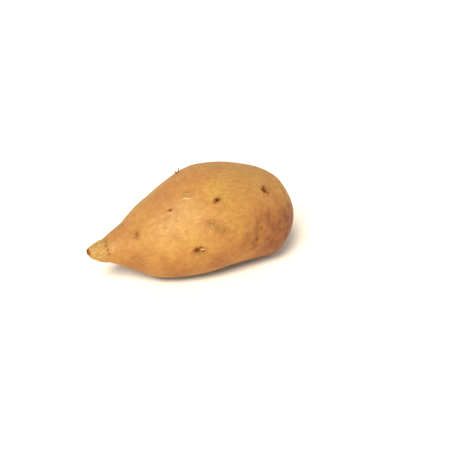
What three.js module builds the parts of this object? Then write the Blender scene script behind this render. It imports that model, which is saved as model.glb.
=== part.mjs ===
// A whole sweet potato lying on a table: one grown root, drawn out to a thin tail at -X and ending
// in a blunt crown at +X. Millimetres, +Z up. The origin is on the table, under the middle of the
// root's bounding box.
import * as THREE from 'three';
import { mergeVertices } from 'three/addons/utils/BufferGeometryUtils.js';

const LENGTH = 159; // tail tip to crown
const WIDTH_TO_HEIGHT = 1.05; // every section is a little wider than it is high
const BELLY_LEVEL = 0.8; // the belly's lowest places are pressed flat up to this height
const FACES_AROUND = 64;
const FACES_ALONG = 44;

// The root is an ellipsoid of revolution whose girth and height change along it.
// at: distance from the tail tip. girth: the radius of the ellipsoid that the root follows there,
// so the section's own radius is girth * 2 * sqrt(s * (1 - s)), where s is at / LENGTH.
// middle: height of the section's centre above the table.
const STATIONS = [
  { at: 0, girth: 15, middle: 32.2 },
  { at: 3.5, girth: 15.4, middle: 31 },
  { at: 9, girth: 15, middle: 30.4 },
  { at: 16, girth: 16, middle: 30.5 },
  { at: 24, girth: 19.6, middle: 30.5 },
  { at: 34, girth: 24.8, middle: 30.4 },
  { at: 46, girth: 30.6, middle: 31.4 },
  { at: 64, girth: 35.1, middle: 34.6 },
  { at: 85, girth: 38.6, middle: 38.7 },
  { at: 106, girth: 39.4, middle: 38.9 },
  { at: 124, girth: 42, middle: 36.2 },
  { at: 137, girth: 46.4, middle: 33.6 },
  { at: 148, girth: 47, middle: 34.2 },
  { at: 155, girth: 44, middle: 33.6 },
  { at: 159, girth: 42, middle: 33.2 },
];

// Grown roots are never round: each section has two low waves round it, which turn slowly on the
// way from tail to crown. crests: how many round the section. height: share of the radius.
// start: angle in radians of the first crest at the tail. turn: radians a millimetre.
const WAVES = [
  { crests: 2, height: 0.015, start: -0.6, turn: -0.02 },
  { crests: 3, height: 0.01, start: 1.1, turn: -0.03 },
];

// Broad swellings and hollows (negative height) on the far side.
// angle: degrees round the root, from +Y (the far side) over +Z (the top).
const SWELLINGS = [
  { at: 116, angle: -4, height: 2.2, reach: 30 },
  { at: 68, angle: -12, height: -1.8, reach: 22 },
  { at: 36, angle: 20, height: 0.9, reach: 14 },
];

const SKIN_COLOUR = 0xd8985a;
const SKIN_ROUGHNESS = 0.6;

// Smooth curve through the stations: gives girth and middle at any distance from the tail.
function stationCurve() {
  const distances = STATIONS.map((station) => station.at);
  const values = STATIONS.flatMap((station) => [station.girth, station.middle]);
  return new THREE.CubicInterpolant(distances, values, 2, new Float32Array(2));
}

function waveFactor(angle, at) {
  return WAVES.reduce(
    (factor, wave) => factor + wave.height * Math.cos(wave.crests * angle - wave.start - wave.turn * at),
    1,
  );
}

// How far the skin stands out at a place, given its angle, distance from the tail and radius.
function swellingHeight(angle, at, radius) {
  return SWELLINGS.reduce((height, swelling) => {
    const turned = angle - THREE.MathUtils.degToRad(swelling.angle);
    const around = Math.atan2(Math.sin(turned), Math.cos(turned)) * radius;
    const distance = Math.hypot(at - swelling.at, around) / swelling.reach;
    return height + swelling.height * Math.exp(-distance * distance);
  }, 0);
}

// A unit sphere with its poles on X: the tail tip is at -X and the crown at +X.
function unitRoot() {
  const sphere = new THREE.SphereGeometry(1, FACES_AROUND, FACES_ALONG);
  sphere.rotateZ(Math.PI / 2);
  sphere.deleteAttribute('normal');
  sphere.deleteAttribute('uv');
  return mergeVertices(sphere);
}

function rootGeometry() {
  const geometry = unitRoot();
  const curve = stationCurve();
  const place = new THREE.Vector3();
  const position = geometry.attributes.position;
  for (let i = 0; i < position.count; i += 1) {
    place.fromBufferAttribute(position, i);
    const at = (LENGTH * (1 + place.x)) / 2;
    const [girth, middle] = curve.evaluate(at);
    const angle = Math.atan2(place.z, place.y);
    const sine = Math.hypot(place.y, place.z);
    const swollen = girth * waveFactor(angle, at) + swellingHeight(angle, at, girth * sine);
    const height = middle + swollen * place.z;
    position.setXYZ(i, at, WIDTH_TO_HEIGHT * swollen * place.y, Math.max(height, BELLY_LEVEL));
  }
  geometry.center();
  geometry.translate(0, 0, -geometry.boundingBox.min.z);
  geometry.computeVertexNormals();
  return geometry;
}

function sweetPotato() {
  const skin = new THREE.MeshStandardMaterial({
    color: SKIN_COLOUR,
    roughness: SKIN_ROUGHNESS,
    metalness: 0,
  });
  const mesh = new THREE.Mesh(rootGeometry(), skin);
  mesh.name = 'sweet_potato';
  return mesh;
}

const part = new THREE.Group();
part.add(sweetPotato());

export default part;
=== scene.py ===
"""A whole tan-skinned sweet potato lying on a pale table.

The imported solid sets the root's shape and place. This script gives it a skin: one fine closed mesh
with low lumps, eyes, rootlets, scratches, a corky tail and a crown scar, and a procedural material.
The root's tail is at -X and its crown at +X. Lengths in the lists below are in millimetres.
"""

import math
from collections import namedtuple

import bmesh
import bpy
import numpy as np
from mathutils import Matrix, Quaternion, Vector, noise
from mathutils.bvhtree import BVHTree


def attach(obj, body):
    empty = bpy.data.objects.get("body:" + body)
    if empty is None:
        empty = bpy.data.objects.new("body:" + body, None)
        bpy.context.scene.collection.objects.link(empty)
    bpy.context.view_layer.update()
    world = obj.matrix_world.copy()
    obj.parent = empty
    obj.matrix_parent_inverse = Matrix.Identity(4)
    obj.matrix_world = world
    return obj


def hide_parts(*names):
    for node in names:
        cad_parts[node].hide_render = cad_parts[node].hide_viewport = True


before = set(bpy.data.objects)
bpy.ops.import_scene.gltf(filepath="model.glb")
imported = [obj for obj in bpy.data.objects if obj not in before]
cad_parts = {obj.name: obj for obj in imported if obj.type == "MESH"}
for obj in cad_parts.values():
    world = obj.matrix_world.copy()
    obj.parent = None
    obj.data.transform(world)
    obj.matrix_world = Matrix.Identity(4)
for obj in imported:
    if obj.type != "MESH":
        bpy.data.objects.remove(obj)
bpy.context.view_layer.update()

MM = 0.001
LENGTHWISE = Vector((1, 0, 0))
UP = Vector((0, 0, 1))

# ---- the camera -----------------------------------------------------------------------------------

VIEW_AZIMUTH = -25  # degrees round from -Y, so that the tail is the nearer end
VIEW_ELEVATION = 30
VIEW_DISTANCE = 700
AIM = (29.4, 0, 23.2)
FOCAL_LENGTH = 74.3

# ---- the relief of the skin -----------------------------------------------------------------------

SUBDIVISIONS = 2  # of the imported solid, to smooth its facets away
EDGE = 0.9  # edge length of the skin's faces, away from small detail
EVENING_PASSES = 4
BELLY_HEIGHT = (0.2, 3)  # the relief fades in between these heights above the table

# How far round a detail the faces are small. Each pass halves the edges within a share of that.
EYE_SURROUND = 2.4  # in sizes of the eye
SCRATCH_SURROUND = 0.8  # past its ends
ROOTLET_SURROUND = 1.2
TAIL_SURROUND = 15
CROWN_SURROUND = 1.9  # in radii of the scar
FINE_SHARES = [1.0, 0.62]

# Low lumps all over: the size of a lump, how high it stands, and which noise it is. The last ones
# are long wrinkles.
Lumps = namedtuple("Lumps", "size height seed")
LUMPS = [Lumps(30, 0.45, 1), Lumps(12, 0.22, 2), Lumps(5, 0.09, 3), Lumps(2.4, 0.045, 4),
         Lumps((18, 3.2, 3.2), 0.09, 5)]

# Every mark has a place near the skin, from where it is moved onto it, a turn in degrees from
# lengthwise, and half its length and half its width.

# An eye: a pit where a side root grew. lip: how high the skin is swollen round it. dark: how dark
# the cork in it is, from 0 to 1.
Eye = namedtuple("Eye", "place length width turn depth lip dark")
EYES = [
    # the side that shows
    Eye((7.6, -27.8, 66.3), 2.2, 1.5, 10, 1.6, 0.4, 1.0),
    Eye((5.4, -28.8, 65.2), 1.5, 1.0, 0, 0.5, 0.1, 0.6),
    Eye((47.1, -21.9, 62.4), 2.1, 2.4, 10, 1.4, 0.3, 1.0),
    Eye((-23.6, -17.5, 60.4), 1.9, 0.9, -18, 0.8, 0.1, 0.85),
    Eye((-11.7, -37.3, 35.3), 2.3, 2.2, 20, 1.7, 0.3, 1.0),
    Eye((-7.8, -38.0, 34.6), 1.6, 0.8, -10, 0.7, 0.1, 0.8),
    Eye((-8.5, -38.0, 37.4), 1.5, 0.6, -10, 0.4, 0.1, 0.7),
    Eye((-47.0, -13.6, 45.2), 1.4, 2.3, 5, 0.6, 0.1, 0.42),
    Eye((-47.8, -14.6, 42.8), 0.9, 1.0, 0, 0.3, 0.0, 0.35),
    Eye((59.1, -16.9, 59.4), 1.0, 0.9, 0, 0.4, 0.1, 0.4),
    Eye((-51.8, 3.1, 45.4), 0.9, 0.8, 0, 0.4, 0.3, 0.8),
    Eye((-4.9, 13.4, 70.7), 1.3, 1.0, 0, 0.5, 0.3, 0.9),
    Eye((38.3, -37.3, 40.2), 1.0, 1.8, 0, 0.5, 0.1, 0.5),
    Eye((34.4, -37.8, 32.8), 1.3, 1.1, 0, 0.5, 0.1, 0.45),
    Eye((31.0, -37.9, 30.6), 1.1, 0.8, 0, 0.4, 0.1, 0.45),
    # the far side
    Eye((32, 36, 55), 2.6, 1.8, 10, 1.5, 0.4, 0.9),
    Eye((34.5, 36, 53.5), 1.2, 0.9, 40, 0.6, 0.1, 0.7),
    Eye((-14, 36, 40), 2.0, 1.5, -15, 1.0, 0.3, 0.8),
    Eye((8, 30, 18), 2.2, 1.6, 5, 1.2, 0.3, 0.9),
    Eye((58, 26, 34), 1.6, 1.8, 0, 0.9, 0.3, 0.8),
    Eye((-40, 20, 40), 1.4, 1.1, 0, 0.7, 0.2, 0.7),
    Eye((-30, 22, 20), 1.3, 1.0, 10, 0.6, 0.2, 0.7),
    # the belly
    Eye((26, -20, 5), 1.8, 1.3, 0, 0.9, 0.2, 0.7),
    Eye((-34, -8, 14), 1.5, 1.1, 0, 0.7, 0.2, 0.7),
]

# A hollow or crease: a soft long dent. dark: how much its colour is darkened, most at its deepest.
# In the hollows and creases that darkening is painted shade; in the cracks it is their own colour.
Dent = namedtuple("Dent", "place length width turn depth dark")
DENTS = [
    # the puckered hollow low on the crown's near side, darkened as painted shade
    Dent((36.2, -37.4, 40), 9, 3.2, 84, 1.7, 0.4),
    Dent((39.2, -34.2, 51), 4.6, 0.8, 78, 0.55, 0.6),
    Dent((45.2, -34.6, 45.5), 5.4, 0.9, 80, 0.55, 0.4),
    Dent((41.5, -36.4, 37), 4.5, 1.0, 62, 0.5, 0.3),
    Dent((27.5, -38.7, 40), 7, 3.0, 78, 0.7, 0.1),
    Dent((22, -39, 30), 7, 3.5, -20, 0.6, 0.1),
    # cracks that run out from an eye
    Dent((48.0, -23.6, 60.0), 2.4, 0.5, 80, 0.4, 0.95),
    Dent((48.0, -22.4, 61.8), 1.2, 0.4, -28, 0.3, 0.7),
    Dent((47.4, -20.2, 64.2), 1.7, 0.4, 42, 0.35, 0.9),
    Dent((44.6, -21.9, 62.6), 1.3, 0.36, -8, 0.3, 0.7),
    Dent((-4.2, -38.3, 36.4), 1.8, 0.3, 8, 0.2, 0.5),
    Dent((-12.4, -36.6, 39.0), 1.3, 0.3, 70, 0.25, 0.5),
    Dent((9.0, -27.6, 66.4), 1.4, 0.3, -30, 0.2, 0.4),
    # broad flats and shallow creases
    Dent((68, -18, 45), 9, 6, 60, 0.4, 0.0),
    Dent((78.5, -4, 38), 9, 8, 60, 0.6, 0.0),
    Dent((-52, 9, 46), 6, 9, 0, 1.1, 0.0),
    Dent((-28, 15, 59), 6, 9, 0, 1.0, 0.0),
    Dent((-31, -19.5, 55.8), 6.5, 1.3, 0, 0.4, 0.3),
    Dent((-42.5, -23.2, 31.6), 2.4, 0.7, 3, 0.3, 0.35),
    Dent((-40.3, -24.3, 36.2), 2.0, 0.6, -4, 0.25, 0.3),
    Dent((-4.5, -29.0, 63), 3.0, 0.8, -25, 0.2, 0.2),
    Dent((16.5, -33.0, 16), 6, 2.5, -30, 0.5, 0.0),
    Dent((10, 38, 34), 14, 4, 85, 0.8, 0.1),
    Dent((46, 33, 48), 10, 3, 70, 0.6, 0.1),
    Dent((-24, 28, 32), 7, 2, 80, 0.4, 0.1),
]

# A scratch that has gone through the skin, to the pale flesh below. raised is the height of the
# skin rolled up along its upper edge.
Scratch = namedtuple("Scratch", "place length width turn depth pale raised")
SCRATCHES = [
    Scratch((-11.4, -18.0, 67.0), 3.4, 0.5, -24, 0.2, 1.0, 0.15),
    Scratch((-9.4, -15.2, 69.1), 2.8, 0.4, -27, 0.15, 0.4, 0.25),
    Scratch((-12.2, -16.0, 68.0), 2.0, 0.3, -24, 0.1, 0.3, 0.15),
    Scratch((-8.2, -38.0, 36.0), 1.5, 0.6, -10, 0.1, 1.0, 0.3),
    Scratch((46.8, -23.6, 59.9), 1.0, 0.4, 60, 0.1, 0.7, 0.2),
    Scratch((-63.8, -8.6, 35.2), 2.0, 0.3, -10, 0.12, 0.35, 0.08),
    Scratch((-62.9, -7.6, 37.2), 1.7, 0.25, -14, 0.1, 0.3, 0.08),
    Scratch((-63.2, -9.6, 33.4), 1.6, 0.25, -4, 0.1, 0.3, 0.08),
    Scratch((20, 38, 46), 4.0, 0.35, -8, 0.2, 0.6, 0.15),
    Scratch((-5, 38, 52), 2.6, 0.3, 20, 0.15, 0.4, 0.1),
    # rubbed skin: lifted, and not worn through
    Scratch((-1.6, -35.4, 54.0), 2.1, 0.35, 55, 0.2, 0.0, 0.25),
    Scratch((3.6, -37.6, 50.9), 2.2, 0.3, -15, 0.15, 0.1, 0.2),
    Scratch((8.6, -39.0, 47.4), 2.0, 0.35, 40, 0.25, 0.0, 0.3),
    Scratch((-0.7, -36.5, 51.9), 1.3, 0.35, 72, 0.1, 0.35, 0.15),
    Scratch((6.3, -36.6, 52.6), 1.6, 0.4, -12, 0.1, 0.3, 0.15),
    Scratch((8.2, -39.2, 46.2), 2.0, 0.3, 72, 0.1, 0.2, 0.1),
]

# A rootlet that has broken off. lean is the way that it grows, and bend the way that it curves.
Rootlet = namedtuple("Rootlet", "place lean bend length radius")
ROOTLETS = [
    Rootlet((-5.6, 13.0, 70.9), (-0.55, -0.1, 0.9), (-0.4, 0, 0.1), 3.4, 0.5),
    Rootlet((-4.6, 13.8, 71.2), (0.0, 0.1, 1.0), (0.35, 0, 0.0), 3.8, 0.42),
    Rootlet((46.2, -21.6, 63.0), (-0.2, -0.5, 0.9), (-0.8, -0.2, -0.2), 2.6, 0.3),
    Rootlet((47.4, -22.4, 62.0), (0.8, -0.8, 0.1), (0.3, -0.3, -0.8), 3.4, 0.25),
    Rootlet((47.0, -20.4, 63.4), (0.3, 0.2, 1.0), (0.3, 0.6, 0.2), 2.4, 0.22),
    Rootlet((-10.8, -37.8, 37.6), (0.6, -0.8, 0.4), (0.7, 0.1, 0.3), 2.2, 0.24),
    Rootlet((-79.2, -0.6, 33.2), (-1.0, -0.2, 0.3), (0.1, -0.1, 0.5), 1.6, 0.4),
    Rootlet((-79.0, -1.6, 31.6), (-1.0, -0.4, -0.3), (0.1, -0.3, -0.4), 1.3, 0.3),
    Rootlet((32.6, 36, 55.4), (0.3, 0.9, 0.5), (0.7, 0.1, 0.2), 4.0, 0.26),
    Rootlet((57.6, 26, 34), (0.6, 0.8, 0.1), (-0.2, 0.2, -0.8), 3.2, 0.24),
    Rootlet((8.4, 30, 18), (0.2, 0.9, -0.2), (0.8, 0.3, 0.4), 3.0, 0.24),
]
ROOTLET_STEPS = 6
ROOTLET_CORK = 0.85
ROOTLET_SWELLING = (1.25, 0.5)  # its thickness at the skin and at its end, in radii

# The tail ends in a corky snout with lengthwise ridges, behind a ring of small dark scars.
TAIL_TIP = (-79.5, 0, 31.4)
SNOUT_END = -66.5  # where along X the snout meets the smooth skin
SNOUT_RIDGES = 9
TAIL_SCARS = [(-67.0, -5.6, 36.6), (-66.6, -8.0, 34.0), (-66.1, -9.3, 31.4), (-66.4, -2.5, 39.0),
              (-66.8, 5.5, 37.5), (-66.6, 9.0, 30.5), (-67.0, 2.5, 21.5)]

# The crown ends in the scar where the root hung from its vine.
CROWN = (79.4, 0, 32.4)
CROWN_SCAR_RADIUS = 5.0

# ---- the tones of the skin ------------------------------------------------------------------------

# A tone is laid on in soft patches. reach: how far from the place it has mostly faded. strength:
# from 0 to 1. The blush is a pinkish brown, and is also painted shade where it lies dark and wide
# over the crown's lower near side; the ochre is yellower than the skin, scuffed skin is rubbed brown
# in curls, and bleached skin is paler.
Patch = namedtuple("Patch", "place reach strength")
# The blush; the patches dark and wide low on the crown's near side are painted shade.
BLUSH_AND_SHADE = [
    Patch((60, -30, 32), 18, 1.0),
    Patch((44, -36, 36), 13, 0.75),
    Patch((33, -38, 36), 9, 0.35),
    Patch((52, -33, 27), 13, 0.65),
    Patch((58, -28, 18), 18, 1.0),
    Patch((70, -18, 34), 13, 0.8),
    Patch((27, -38, 32), 10, 0.45),
    Patch((52, -29, 13), 14, 0.6),
    Patch((66, -20, 16), 12, 0.5),
    Patch((66, -24, 30), 10, 0.4),
    Patch((42, -33.8, 49), 6, 0.45),
    Patch((6, -34, 20), 10, 0.5),
    Patch((-8, -38, 31), 5, 0.45),
    Patch((-48, -16, 24), 12, 0.5),
    Patch((-18, -28, 12), 16, 0.35),
    Patch((40, 30, 30), 22, 0.7),
    Patch((-20, 24, 26), 16, 0.5),
]
OCHRE = [
    Patch((7, -21, 71), 8, 1.0),
    Patch((8.5, -24, 69), 6, 0.8),
    Patch((14, -27, 66), 9, 0.5),
    Patch((-16, -34, 45), 9, 0.7),
    Patch((-28, -31, 38), 9, 0.4),
    Patch((36, -14, 69), 13, 0.6),
    Patch((62, -16, 56), 11, 0.9),
    Patch((20, -37, 46), 10, 0.3),
    Patch((20, 30, 62), 14, 0.6),
    Patch((-30, 20, 48), 10, 0.5),
]
SCUFF = [
    Patch((-0.2, -35.8, 53.6), 3.0, 1.0),
    Patch((8.0, -39.0, 47.8), 2.6, 1.0),
    Patch((-3.6, -34.4, 55.2), 2.4, 0.6),
    Patch((3.6, -37.8, 50.2), 2.8, 0.6),
    Patch((-9.8, -15.2, 69.2), 3.2, 0.8),
    Patch((-47.2, -14.0, 44.4), 3.0, 0.6),
    Patch((-42, -23.5, 34), 3.2, 0.4),
    Patch((44, 32, 58), 5, 0.5),
    Patch((-2, 40, 44), 4, 0.5),
]
BLEACHED = [
    Patch((-16, -26, 58), 14, 0.8),
    Patch((-31, -22, 50), 11, 0.6),
    Patch((-64, -8.5, 35.5), 3.5, 0.8),
    Patch((-10.8, -37.6, 32.4), 2.4, 0.7),
    Patch((-10, 28, 56), 16, 0.5),
]

# ---- small helpers --------------------------------------------------------------------------------


def smoothstep(low, high, value):
    """0 below low and 1 above high, or the other way round if low is above high."""
    share = np.clip((value - low) / (high - low), 0, 1)
    return share * share * (3 - 2 * share)


def noise_at(points, size, seed):
    """Smooth noise from about -1 to 1, whose features have that size. points are in millimetres,
    and size is one number or three."""
    scaled = points / np.array(size, float) + np.array((7.3, 3.1, 5.7)) * seed
    return np.array([noise.noise(point) for point in scaled])


def keep_modified(piece):
    """Makes a piece's mesh what its modifiers make of it."""
    evaluated = piece.evaluated_get(bpy.context.evaluated_depsgraph_get())
    mesh = bpy.data.meshes.new_from_object(evaluated)
    piece.modifiers.clear()
    piece.data = mesh


# ---- the skin's mesh ------------------------------------------------------------------------------


def smooth_copy(node):
    """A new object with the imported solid's shape, without its facets."""
    bm = bmesh.new()
    bm.from_mesh(node.data)
    bmesh.ops.remove_doubles(bm, verts=bm.verts, dist=0.01 * MM)
    bmesh.ops.join_triangles(bm, faces=bm.faces, angle_face_threshold=3, angle_shape_threshold=3)
    mesh = bpy.data.meshes.new("sweet_potato_skin")
    bm.to_mesh(mesh)
    bm.free()
    skin = bpy.data.objects.new("sweet_potato_skin", mesh)
    bpy.context.scene.collection.objects.link(skin)
    skin.modifiers.new("smooth", "SUBSURF").levels = SUBDIVISIONS
    keep_modified(skin)
    return skin


def search_tree(mesh):
    bm = bmesh.new()
    bm.from_mesh(mesh)
    tree = BVHTree.FromBMesh(bm)
    bm.free()
    return tree


def even_faces(skin, tree):
    """The skin as a bmesh of even triangles, with each vertex on the smooth shape."""
    remesh = skin.modifiers.new("even", "REMESH")
    remesh.mode = "VOXEL"
    remesh.voxel_size = EDGE * MM
    keep_modified(skin)
    bm = bmesh.new()
    bm.from_mesh(skin.data)
    axes = {"use_axis_x": True, "use_axis_y": True, "use_axis_z": True}
    for _ in range(EVENING_PASSES):
        bmesh.ops.smooth_vert(bm, verts=bm.verts, factor=0.5, **axes)
        drop_onto(tree, bm.verts)
    bmesh.ops.triangulate(bm, faces=bm.faces)
    return bm


def drop_onto(tree, verts):
    for vert in verts:
        vert.co = tree.find_nearest(vert.co)[0]


def details():
    """Where small detail needs small faces: place and reach in millimetres."""
    spots = [(eye.place, EYE_SURROUND * max(eye.length, eye.width)) for eye in EYES]
    spots += [(scratch.place, scratch.length + SCRATCH_SURROUND) for scratch in SCRATCHES]
    spots += [(rootlet.place, ROOTLET_SURROUND) for rootlet in ROOTLETS]
    spots += [(TAIL_TIP, TAIL_SURROUND), (CROWN, CROWN_SURROUND * CROWN_SCAR_RADIUS)]
    return spots


def refine(bm, tree):
    """Splits the edges near small detail, and drops the new vertices onto the smooth shape."""
    spots = [(np.array(tree.find_nearest(Vector(place) * MM)[0]) / MM, reach)
             for place, reach in details()]
    for share in FINE_SHARES:
        bm.edges.ensure_lookup_table()
        middles = np.array([(edge.verts[0].co + edge.verts[1].co) / 2 for edge in bm.edges]) / MM
        near = np.zeros(len(middles), bool)
        for place, reach in spots:
            near |= np.linalg.norm(middles - place, axis=1) < reach * share
        edges = [bm.edges[i] for i in np.flatnonzero(near)]
        old = set(bm.verts)
        bmesh.ops.subdivide_edges(bm, edges=edges, cuts=1)
        bmesh.ops.triangulate(bm, faces=bm.faces)
        drop_onto(tree, [vert for vert in bm.verts if vert not in old])


# ---- relief and masks -----------------------------------------------------------------------------


class Relief:
    """What is drawn on the skin: how far each vertex stands out, and masks for the material."""

    # The stain mask holds stains and painted shade in hollows and grooves; the blush mask is partly
    # painted shade.
    MASKS = ("cork", "stain_and_shade", "flesh", "snout", "blush_and_shade", "ochre", "scuff", "bleached")

    def __init__(self, bm, tree):
        bm.normal_update()
        self.bm = bm
        self.tree = tree
        self.points = np.array([vert.co for vert in bm.verts]) / MM
        self.normals = np.array([vert.normal for vert in bm.verts])
        self.height = np.zeros(len(self.points))
        self.masks = {name: np.zeros(len(self.points)) for name in self.MASKS}

    def around(self, place, turn, reach):
        """The vertices within reach of a place on the skin, with their distances from it along
        its length and across it."""
        centre, normal, _, _ = self.tree.find_nearest(Vector(place) * MM)
        centre = np.array(centre) / MM
        axis = UP if abs(normal.x) > 0.9 else LENGTHWISE
        along = (axis - normal * normal.dot(axis)).normalized()
        along.rotate(Quaternion(normal, math.radians(turn)))
        across = normal.cross(along)
        near = np.flatnonzero(np.linalg.norm(self.points - centre, axis=1) < reach)
        offset = self.points[near] - centre
        return near, offset @ np.array(along), offset @ np.array(across)

    def mark(self, name, near, strength):
        """Adds to a mask without going over 1."""
        mask = self.masks[name]
        mask[near] = 1 - (1 - mask[near]) * (1 - np.clip(strength, 0, 1))

    def lumps(self):
        for lumps in LUMPS:
            self.height += lumps.height * noise_at(self.points, lumps.size, lumps.seed)

    def eye(self, eye):
        near, u, w = self.around(eye.place, eye.turn, 4 * max(eye.length, eye.width))
        ragged = 1 + 0.22 * noise_at(self.points[near], 1.3, 5) + 0.1 * noise_at(self.points[near], 0.5, 6)
        out = np.hypot(u / eye.length, w / eye.width) * ragged
        self.height[near] -= eye.depth * (0.55 * np.exp(-out ** 2) + 0.45 * np.exp(-(out / 0.5) ** 4))
        self.height[near] += eye.lip * np.exp(-((out - 1.5) / 0.55) ** 2)
        angle = np.arctan2(w, u) + 0.6 * noise_at(self.points[near], 2.5, 20)
        self.height[near] += 0.12 * eye.depth * np.cos(7 * angle) * np.exp(-((out - 1.7) / 0.8) ** 2)
        self.mark("cork", near, eye.dark * smoothstep(1.0, 0.45, out))
        self.mark("stain_and_shade", near, eye.dark * 0.7 * smoothstep(2.3, 0.7, out))

    def dent(self, dent):
        near, u, w = self.around(dent.place, dent.turn, 3 * max(dent.length, dent.width))
        ragged = 1 + 0.3 * noise_at(self.points[near], 6, 7)
        soft = np.exp(-((u / dent.length) ** 2 + (w / dent.width) ** 2) * ragged)
        self.height[near] -= dent.depth * soft
        # A dent darkens with its depth: painted shade in hollows and creases, a crack's own dark colour.
        self.mark("stain_and_shade", near, dent.dark * soft)

    def scratch(self, scratch):
        near, u, w = self.around(scratch.place, scratch.turn, 1.6 * scratch.length)
        wander = w + 0.35 * noise_at(self.points[near], 2.5, 8)
        share = np.abs(u) / scratch.length * (1 + 0.2 * noise_at(self.points[near], 0.8, 9))
        ends = smoothstep(1.0, 0.6, share)
        width = scratch.width * np.sqrt(np.clip(1 - share ** 2, 0.1, 1))
        cut = ends * np.exp(-(wander / width) ** 2)
        rolled = ends * np.exp(-((wander / width - 1.6) / 0.6) ** 2)
        self.height[near] += scratch.raised * rolled - scratch.depth * cut
        self.mark("flesh", near, scratch.pale * smoothstep(0.25, 0.7, cut))
        self.mark("stain_and_shade", near, 0.5 * rolled)

    def tail(self):
        """The corky snout: lengthwise ridges, a shallow neck, a ring of scars and a broken tip."""
        x, y, z = (self.points - np.array((0, 0, TAIL_TIP[2]))).T
        angle = np.arctan2(z, y)
        near = np.flatnonzero(x < SNOUT_END + 14)
        x, angle, points = x[near], angle[near], self.points[near]
        wander = angle + 0.25 * noise_at(points, 4, 10)
        snout = smoothstep(SNOUT_END + 2.5, SNOUT_END - 2, x + 1.5 * noise_at(points, 4, 11))
        ridges = np.cos(SNOUT_RIDGES * wander) * 0.6 + np.cos(2.3 * SNOUT_RIDGES * wander) * 0.4
        rough = noise_at(points, (1.6, 0.7, 0.7), 12)
        neck = np.exp(-((x - SNOUT_END) / 1.8) ** 2) * (0.6 + 0.4 * np.sin(angle))
        self.height[near] += snout * (0.22 * ridges + 0.2 * rough + 0.25) - 0.55 * neck
        self.mark("snout", near, snout)
        # Painted shade: darker in the neck and in the grooves between the ridges.
        self.mark("stain_and_shade", near, 0.3 * neck + 0.2 * snout * smoothstep(0, -0.9, ridges))
        tip = smoothstep(TAIL_TIP[0] + 2.2, TAIL_TIP[0] + 0.5, x + 0.8 * noise_at(points, 1.4, 13))
        self.height[near] += 0.35 * tip * noise_at(points, 0.9, 14)
        self.mark("cork", near, 0.9 * tip)
        for scar in TAIL_SCARS:
            self.eye(Eye(scar, 0.7, 0.6, 0, 0.35, 0.12, 0.75))

    def crown(self):
        """The scar of the vine: a torn corky stump in a puckered hollow."""
        near, u, w = self.around(CROWN, 0, 4.5 * CROWN_SCAR_RADIUS)
        points = self.points[near]
        out = np.hypot(u, w) / CROWN_SCAR_RADIUS
        ragged = out * (1 + 0.15 * noise_at(points, 2.5, 15))
        angle = np.arctan2(w, u) + 0.3 * noise_at(points, 5, 16)
        pucker = np.cos(11 * angle) * np.exp(-((out - 1.4) / 0.7) ** 2)
        stump = smoothstep(0.75, 0.45, ragged)
        self.height[near] += 0.3 * pucker - 1.6 * np.exp(-(out / 1.5) ** 2)
        self.height[near] += stump * (1.1 + 0.45 * noise_at(points, 1.1, 17))
        self.mark("cork", near, smoothstep(1.05, 0.6, ragged))
        # A stain round the scar, and painted shade in the folds of the pucker.
        self.mark("stain_and_shade", near, 0.8 * smoothstep(2.4, 0.9, ragged) + 0.25 * np.maximum(-pucker, 0))

    def tone(self, name, patches):
        """Soft patches whose edges wander."""
        wander = 1 + 0.35 * noise_at(self.points, 9, 18) + 0.2 * noise_at(self.points, 3.5, 19)
        for patch in patches:
            out = np.linalg.norm(self.points - np.array(patch.place), axis=1) / patch.reach
            self.mark(name, slice(None), patch.strength * np.exp(-(out * wander) ** 2))

    def draw(self):
        self.lumps()
        for dent in DENTS:
            self.dent(dent)
        for eye in EYES:
            self.eye(eye)
        for scratch in SCRATCHES:
            self.scratch(scratch)
        self.tail()
        self.crown()
        self.tone("blush_and_shade", BLUSH_AND_SHADE)
        self.tone("ochre", OCHRE)
        self.tone("scuff", SCUFF)
        self.tone("bleached", BLEACHED)
        self.height *= smoothstep(*BELLY_HEIGHT, self.points[:, 2])

    def apply(self):
        moved = (self.points + self.normals * self.height[:, None]) * MM
        layers = {name: self.bm.verts.layers.float.new(name) for name in self.MASKS}
        for i, vert in enumerate(self.bm.verts):
            vert.co = moved[i]
            for name, layer in layers.items():
                vert[layer] = self.masks[name][i]


# ---- rootlets -------------------------------------------------------------------------------------


def grow(bm, rootlet):
    """Draws a few faces of the skin out into a thin, curved, broken-off root."""
    place = Vector(rootlet.place) * MM
    bm.verts.index_update()
    base = min(bm.verts, key=lambda vert: (vert.co - place).length_squared)
    cork = bm.verts.layers.float["cork"]
    thick, thin = ROOTLET_SWELLING
    faces = list(base.link_faces)
    centre, facing = base.co.copy(), base.normal.copy()
    patch = sorted({vert for face in faces for vert in face.verts}, key=lambda vert: vert.index)
    width = sum((vert.co - centre).length for vert in patch) / (len(patch) - 1)
    section = [(vert.co.copy(), (vert.co - centre) / width * rootlet.radius * MM) for vert in patch]
    for step in range(1, ROOTLET_STEPS + 1):
        drawn = bmesh.ops.extrude_face_region(bm, geom=faces)["geom"]
        bmesh.ops.delete(bm, geom=faces, context="FACES")
        verts = [item for item in drawn if isinstance(item, bmesh.types.BMVert)]
        faces = [item for item in drawn if isinstance(item, bmesh.types.BMFace)]
        share = step / ROOTLET_STEPS
        way = (Vector(rootlet.lean) + Vector(rootlet.bend) * share).normalized()
        centre = centre + way * rootlet.length * MM / ROOTLET_STEPS
        swing = facing.rotation_difference(way)
        moved = []
        for vert in verts:
            _, offset = min(section, key=lambda pair: (pair[0] - vert.co).length_squared)
            vert.co = centre + swing @ (offset * (thick + (thin - thick) * share))
            vert[cork] = ROOTLET_CORK
            moved.append((vert.co.copy(), offset))
        section = moved


# ---- building the piece ---------------------------------------------------------------------------


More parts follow.
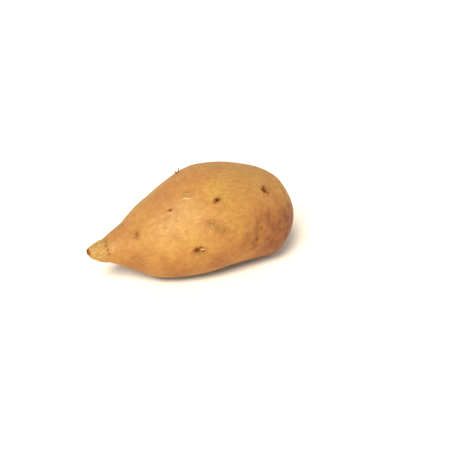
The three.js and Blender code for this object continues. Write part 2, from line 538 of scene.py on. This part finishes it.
def build_skin():
    skin = smooth_copy(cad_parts["sweet_potato"])
    tree = search_tree(skin.data)
    bm = even_faces(skin, tree)
    refine(bm, tree)
    relief = Relief(bm, tree)
    relief.draw()
    relief.apply()
    bm.normal_update()
    for rootlet in ROOTLETS:
        grow(bm, rootlet)
    bmesh.ops.triangulate(bm, faces=bm.faces)
    bmesh.ops.recalc_face_normals(bm, faces=bm.faces)
    bm.to_mesh(skin.data)
    bm.free()
    skin.data.shade_smooth()
    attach(skin, "root")
    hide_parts("sweet_potato")
    return skin


# ---- materials ------------------------------------------------------------------------------------


class Shading:
    """Short calls for building a material out of nodes. A value is a number, a colour or the
    output of another node, and lengths are in millimetres."""

    def __init__(self, name):
        self.material = bpy.data.materials.new(name)
        self.material.use_nodes = True
        self.tree = self.material.node_tree
        self.shader = self.tree.nodes["Principled BSDF"]
        self.place = self.tree.nodes.new("ShaderNodeTexCoord").outputs["Object"]

    def feed(self, socket, value):
        if isinstance(value, bpy.types.NodeSocket):
            self.tree.links.new(value, socket)
        else:
            socket.default_value = value

    def node(self, kind, settings, inputs, output):
        made = self.tree.nodes.new(kind)
        for name, value in settings.items():
            setattr(made, name, value)
        for name, value in inputs.items():
            self.feed(made.inputs[name], value)
        return made.outputs[output]

    def stretched(self, factors):
        return self.node("ShaderNodeMapping", {}, {"Vector": self.place, "Scale": factors}, "Vector")

    def noise(self, size, detail=3, stretch=(1, 1, 1), distortion=0.0):
        """From 0 to 1. size is that of a feature, in millimetres."""
        inputs = {"Vector": self.stretched(stretch), "Scale": 1 / (size * MM), "Detail": detail,
                  "Roughness": 0.55, "Distortion": distortion}
        return self.node("ShaderNodeTexNoise", {}, inputs, "Fac")

    def cells(self, size, stretch=(1, 1, 1)):
        """Distance from the middle of scattered spots, in spot sizes."""
        inputs = {"Vector": self.stretched(stretch), "Scale": 1 / (size * MM), "Randomness": 1.0}
        return self.node("ShaderNodeTexVoronoi", {}, inputs, "Distance")

    def mask(self, name):
        return self.node("ShaderNodeAttribute", {"attribute_name": name}, {}, "Fac")

    def ramp(self, value, low, high, to_low=0.0, to_high=1.0):
        inputs = {"Value": value, "From Min": low, "From Max": high, "To Min": to_low, "To Max": to_high}
        return self.node("ShaderNodeMapRange", {"interpolation_type": "SMOOTHSTEP"}, inputs, "Result")

    def maths(self, operation, first, second):
        return self.node("ShaderNodeMath", {"operation": operation}, {0: first, 1: second}, 0)

    def times(self, first, second):
        return self.maths("MULTIPLY", first, second)

    def blend(self, share, first, second, mode="MIX"):
        inputs = {"Fac": share, "Color1": first, "Color2": second}
        return self.node("ShaderNodeMixRGB", {"blend_type": mode}, inputs, "Color")

    def bump(self, height, depth, below=None):
        """Relief too fine for the mesh. depth is in millimetres."""
        inputs = {"Height": height, "Distance": depth * MM}
        if below is not None:
            inputs["Normal"] = below
        return self.node("ShaderNodeBump", {}, inputs, "Normal")


TAN = (0.318, 0.152, 0.035, 1)
DEEP_TAN = (0.286, 0.120, 0.030, 1)
PALE_TAN = (0.365, 0.208, 0.072, 1)
# Pinkish brown, made dark enough to paint the shade low on the crown's near side.
BLUSH_AND_SHADE_TONE = (0.138, 0.041, 0.016, 1)
OCHRE_TONE = (0.362, 0.207, 0.040, 1)
SCUFF_TONE = (0.176, 0.082, 0.013, 1)
# Brown of stains, also used for painted shade in hollows, creases and grooves.
STAIN_AND_SHADE_TONE = (0.180, 0.070, 0.013, 1)
STREAK_GAIN = (1.14, 1.16, 1.22, 1)
STREAK_LOSS = (0.84, 0.80, 0.74, 1)
CORK_TONE = (0.085, 0.020, 0.001, 1)
CORK_PALE = (0.170, 0.058, 0.006, 1)
FLESH_TONE = (0.50, 0.31, 0.15, 1)
SNOUT_TONE = (0.270, 0.146, 0.036, 1)
SNOUT_PALE = (0.350, 0.208, 0.060, 1)
SKIN_SPECULAR = 0.12
TABLE_TONE = (0.30, 0.254, 0.200, 1)
TABLE_ROUGHNESS = 0.9


def skin_colour(s, streaks, pores):
    """Mottled tan with blush and ochre patches, faint streaks along the root and fine pores, under
    the marks that the mesh's masks hold. The blush is partly painted shade, low on the crown's near
    side, and the stains include painted shade in hollows, creases and grooves."""
    colour = s.blend(s.ramp(s.noise(16, 4), 0.35, 0.65), TAN, DEEP_TAN)
    colour = s.blend(s.times(s.mask("bleached"), 0.75), colour, PALE_TAN)
    colour = s.blend(s.times(s.mask("ochre"), 0.6), colour, OCHRE_TONE)
    # Pinkish-brown blush, which is also painted shade low on the crown's near side.
    patchy = s.ramp(s.noise(7, 4), 0.3, 0.7, 0.55, 1.0)
    colour = s.blend(s.times(s.mask("blush_and_shade"), patchy), colour, BLUSH_AND_SHADE_TONE)

    mottle = s.ramp(s.noise(3.2, 5), 0.3, 0.7, 0.9, 1.1)
    colour = s.blend(1.0, colour, mottle, "MULTIPLY")
    stretches = s.ramp(s.noise(14, 2), 0.4, 0.65, 0.2, 1.0)
    pale_streaks = s.times(s.ramp(streaks, 0.52, 0.7), stretches)
    colour = s.blend(pale_streaks, colour, STREAK_GAIN, "MULTIPLY")
    dark_streaks = s.times(s.ramp(streaks, 0.46, 0.3), 0.5)
    colour = s.blend(dark_streaks, colour, STREAK_LOSS, "MULTIPLY")

    curls = s.ramp(s.noise(2.0, 3, (1, 1, 1), 1.5), 0.36, 0.56)
    colour = s.blend(s.times(s.mask("scuff"), curls), colour, SCUFF_TONE)
    colour = s.blend(s.times(pores, 0.4), colour, STAIN_AND_SHADE_TONE)

    ribs = s.ramp(s.noise(1.1, 3, (0.25, 1, 1), 0.6), 0.38, 0.62)
    snout = s.blend(ribs, SNOUT_TONE, SNOUT_PALE)
    colour = s.blend(s.times(s.mask("snout"), 0.9), colour, snout)
    # Stains round eyes, scars and cracks, with painted shade in hollows, creases and grooves.
    colour = s.blend(s.mask("stain_and_shade"), colour, STAIN_AND_SHADE_TONE)
    cork = s.blend(s.ramp(s.noise(0.8, 3), 0.4, 0.7), CORK_TONE, CORK_PALE)
    colour = s.blend(s.mask("cork"), colour, cork)
    return s.blend(s.mask("flesh"), colour, FLESH_TONE)


def skin_relief(s, streaks, pores):
    """Grain, streaks, pores and wrinkles too fine for the mesh. The snout is the most wrinkled."""
    normal = s.bump(s.noise(0.55, 4), 0.05)
    normal = s.bump(streaks, 0.10, normal)
    normal = s.bump(s.times(pores, -1.0), 0.12, normal)
    wrinkles = s.noise(1.6, 3, (1, 0.3, 0.3), 0.5)
    wrinkled = s.ramp(s.mask("snout"), 0.0, 1.0, 0.3, 1.0)
    return s.bump(s.times(wrinkles, wrinkled), 0.15, normal)


def skin_material():
    """Thin dry root skin, with dull cork."""
    s = Shading("potato_skin")
    streaks = s.noise(1.3, 4, (0.14, 1, 1), 0.4)
    scattered = s.ramp(s.noise(6, 2), 0.48, 0.6)
    pores = s.times(s.ramp(s.cells(3.4, (1.5, 0.6, 0.6)), 0.14, 0.06), scattered)
    dullness = s.ramp(s.noise(2.4, 4), 0.3, 0.7, 0.52, 0.68)
    s.feed(s.shader.inputs["Base Color"], skin_colour(s, streaks, pores))
    s.feed(s.shader.inputs["Roughness"], s.maths("ADD", dullness, s.times(s.mask("cork"), 0.2)))
    s.feed(s.shader.inputs["Normal"], skin_relief(s, streaks, pores))
    s.shader.inputs["Specular IOR Level"].default_value = SKIN_SPECULAR
    return s.material


def table_material():
    s = Shading("table_white")
    s.shader.inputs["Base Color"].default_value = TABLE_TONE
    s.shader.inputs["Roughness"].default_value = TABLE_ROUGHNESS
    return s.material


# ---- table, light and camera ----------------------------------------------------------------------

TABLE_SIZE = 40.0
SKY_STRENGTH = 1.5

KEY_AZIMUTH = -48
KEY_ELEVATION = 23
KEY_DISTANCE = 3.0
KEY_SIZE = 2.2
KEY_POWER = 103

TABLE_LIGHT_AZIMUTH = -42
TABLE_LIGHT_ELEVATION = 48
TABLE_LIGHT_SPREAD = 25  # degrees
TABLE_LIGHT_STRENGTH = 14.5


def towards(azimuth, elevation):
    """Unit vector from the root out to there. Azimuth 0 is in front, at -Y, and 90 is at +X."""
    a, e = math.radians(azimuth), math.radians(elevation)
    return Vector((math.sin(a) * math.cos(e), -math.cos(a) * math.cos(e), math.sin(e)))


def set_up(name, data, place, target):
    """Puts a lamp or a camera there, looking at the target."""
    thing = bpy.data.objects.new(name, data)
    bpy.context.scene.collection.objects.link(thing)
    thing.location = place
    thing.rotation_euler = (target - place).to_track_quat("-Z", "Y").to_euler()
    return thing


def table():
    bm = bmesh.new()
    bmesh.ops.create_grid(bm, x_segments=1, y_segments=1, size=TABLE_SIZE / 2)
    mesh = bpy.data.meshes.new("table")
    bm.to_mesh(mesh)
    bm.free()
    mesh.materials.append(table_material())
    top = bpy.data.objects.new("table", mesh)
    bpy.context.scene.collection.objects.link(top)
    return top


def sky():
    world = bpy.data.worlds.new("studio")
    world.use_nodes = True
    world.node_tree.nodes["Background"].inputs["Color"].default_value = (1, 1, 1, 1)
    world.node_tree.nodes["Background"].inputs["Strength"].default_value = SKY_STRENGTH
    bpy.context.scene.world = world


def key_light():
    data = bpy.data.lights.new("key", "AREA")
    data.shape = "DISK"
    data.size = KEY_SIZE
    data.energy = KEY_POWER
    target = Vector(AIM) * MM
    set_up("key", data, target + towards(KEY_AZIMUTH, KEY_ELEVATION) * KEY_DISTANCE, target)


def table_light(top):
    """Burns the table out to white, but for the root's shadow, and lights nothing else."""
    data = bpy.data.lights.new("table_light", "SUN")
    data.energy = TABLE_LIGHT_STRENGTH
    data.angle = math.radians(TABLE_LIGHT_SPREAD)
    lit = bpy.data.collections.new("lit_by_table_light")
    lit.objects.link(top)
    way = towards(TABLE_LIGHT_AZIMUTH, TABLE_LIGHT_ELEVATION)
    set_up("table_light", data, way, Vector()).light_linking.receiver_collection = lit


def camera():
    data = bpy.data.cameras.new("camera")
    data.lens = FOCAL_LENGTH
    target = Vector(AIM) * MM
    place = target + towards(VIEW_AZIMUTH, VIEW_ELEVATION) * VIEW_DISTANCE * MM
    bpy.context.scene.camera = set_up("camera", data, place, target)


camera()
sky()
key_light()
table_light(table())
skin = build_skin()
skin.data.materials.clear()
skin.data.materials.append(skin_material())
bpy.context.scene.view_settings.view_transform = "Standard"
